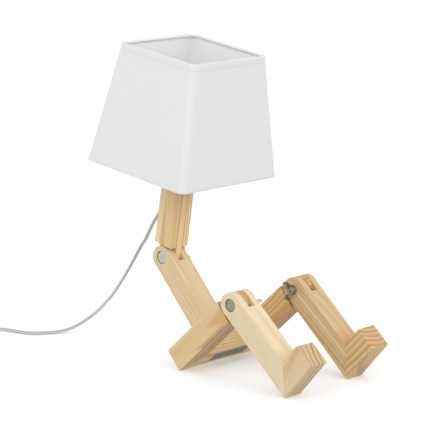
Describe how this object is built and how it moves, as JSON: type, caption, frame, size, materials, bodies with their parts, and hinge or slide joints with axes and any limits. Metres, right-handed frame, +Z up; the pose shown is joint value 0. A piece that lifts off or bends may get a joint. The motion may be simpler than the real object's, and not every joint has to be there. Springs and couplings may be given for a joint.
{
  "type": "desk lamp",
  "caption": "Seated stick-figure desk lamp: pine limbs with bolted bridle joints, a square tapered fabric shade and a switched mains lead.",
  "frame": {"origin": "on the floor under the middle of the lamp's own bounding box, cord left out", "axes": "+X to the figure's left, -Y to its front where the feet are, +Z up"},
  "size_m": [0.3579, 0.5532, 0.3909],
  "materials": {
    "pine_thigh": "sanded pine, clear matt lacquer",
    "pine_crossbar": "sanded pine, clear matt lacquer",
    "pine_torso": "sanded pine, clear matt lacquer",
    "pine_shin": "sanded pine, clear matt lacquer",
    "pine_foot": "sanded pine, clear matt lacquer",
    "pine_neck": "sanded pine, clear matt lacquer",
    "beech_dowel": "plain",
    "zinc_bolt": "dull zinc plate",
    "zinc_wing_nut": "bright zinc plate",
    "yellow_screw": "yellow zinc plate",
    "label_foil": "satin foil, bare",
    "white_plastic": "fine matt",
    "ceramic_insert": "glazed",
    "brass_contact": "bare",
    "lead_insulation": "smooth",
    "relief_rubber": "soft translucent",
    "frame_wire": "white powder coat",
    "shade_cloth": "fine plain weave on a white liner",
    "hem_tape": "fine plain weave",
    "bulb_shell": "bright rolled",
    "bulb_collar_plastic": "smooth white",
    "opal_plastic": "opal",
    "cord_pvc": "clear twin lead, seen as silvery grey",
    "plug_plastic": "smooth white",
    "pin_nickel": "nickel plate"
  },
  "bodies": {
    "frame": {"thigh_right": "pine_thigh", "thigh_left": "pine_thigh", "crossbar": "pine_crossbar", "torso": "pine_torso", "frame_dowels": "beech_dowel", "torso_screws": "yellow_screw", "rating_plate": "label_foil", "neck_bolt": "zinc_bolt", "neck_washer": "zinc_wing_nut", "cord_on_floor": "cord_pvc", "switch_base": "white_plastic", "switch_cover": "white_plastic", "switch_contacts": "brass_contact", "switch_screws": "zinc_wing_nut", "cord_to_coil": "cord_pvc", "cord_coil": "cord_pvc", "cord_to_plug": "cord_pvc", "plug_body": "plug_plastic", "plug_pins": "pin_nickel"},
    "neck": {"neck_cheek_right": "pine_neck", "neck_cheek_left": "pine_neck", "neck_tongue": "pine_neck", "nipple": "brass_contact", "nipple_nut": "brass_contact", "holder_cap": "white_plastic", "holder_body": "white_plastic", "contact_block": "ceramic_insert", "screw_shell": "brass_contact", "centre_contact": "brass_contact", "holder_leads": "lead_insulation", "strain_relief": "relief_rubber", "clamp_ring_lower": "white_plastic", "clamp_ring_upper": "white_plastic", "shade_frame_bottom": "frame_wire", "shade_frame_top": "frame_wire", "shade_fabric": "shade_cloth", "shade_hem_bottom": "hem_tape", "shade_hem_top": "hem_tape", "cord_hanging": "cord_pvc"},
    "bulb": {"bulb_cap": "bulb_shell", "bulb_collar": "bulb_collar_plastic", "bulb_globe": "opal_plastic"},
    "leg_right": {"shin_right": "pine_shin", "foot_right": "pine_foot", "foot_dowels_right": "beech_dowel", "knee_bolt_right": "zinc_bolt", "knee_washer_right": "zinc_wing_nut"},
    "leg_left": {"shin_left": "pine_shin", "foot_left": "pine_foot", "foot_dowels_left": "beech_dowel", "knee_bolt_left": "zinc_bolt", "knee_washer_left": "zinc_wing_nut"},
    "neck_nut": {"neck_wing_nut": "zinc_wing_nut"},
    "knee_nut_right": {"knee_wing_nut_right": "zinc_wing_nut"},
    "knee_nut_left": {"knee_wing_nut_left": "zinc_wing_nut"},
    "rocker": {"switch_rocker": "white_plastic"}
  },
  "joints": [
    {"name": "neck_tilt", "type": "hinge", "parent": "frame", "child": "neck", "pos_m": [0, 0.11714, 0.11854], "axis": [1, 0, 0], "range_deg": [-50, 38], "deforming": ["cord_hanging"]},
    {"name": "knee_right", "type": "hinge", "parent": "frame", "child": "leg_right", "pos_m": [-0.0555, -0.05338, 0.09579], "axis": [1, 0, 0], "range_deg": [-83, 9]},
    {"name": "knee_left", "type": "hinge", "parent": "frame", "child": "leg_left", "pos_m": [0.0555, -0.05338, 0.09579], "axis": [1, 0, 0], "range_deg": [-83, 9]},
    {"name": "neck_nut_turn", "type": "hinge", "parent": "frame", "child": "neck_nut", "pos_m": [0.0197, 0.11714, 0.11854], "axis": [1, 0, 0], "continuous": true},
    {"name": "knee_nut_right_turn", "type": "hinge", "parent": "leg_right", "child": "knee_nut_right", "pos_m": [-0.0362, -0.05338, 0.09579], "axis": [1, 0, 0], "continuous": true},
    {"name": "knee_nut_left_turn", "type": "hinge", "parent": "leg_left", "child": "knee_nut_left", "pos_m": [0.0362, -0.05338, 0.09579], "axis": [-1, 0, 0], "continuous": true},
    {"name": "bulb_screw", "type": "hinge", "parent": "neck", "child": "bulb", "pos_m": [0, 0.09436, 0.25464], "axis": [0, -0.165, 0.9863], "continuous": true},
    {"name": "switch_rock", "type": "hinge", "parent": "frame", "child": "rocker", "pos_m": [-0.167, 0.361, 0.01], "axis": [0, 1, 0], "range_deg": [-24, 0]}
  ]
}
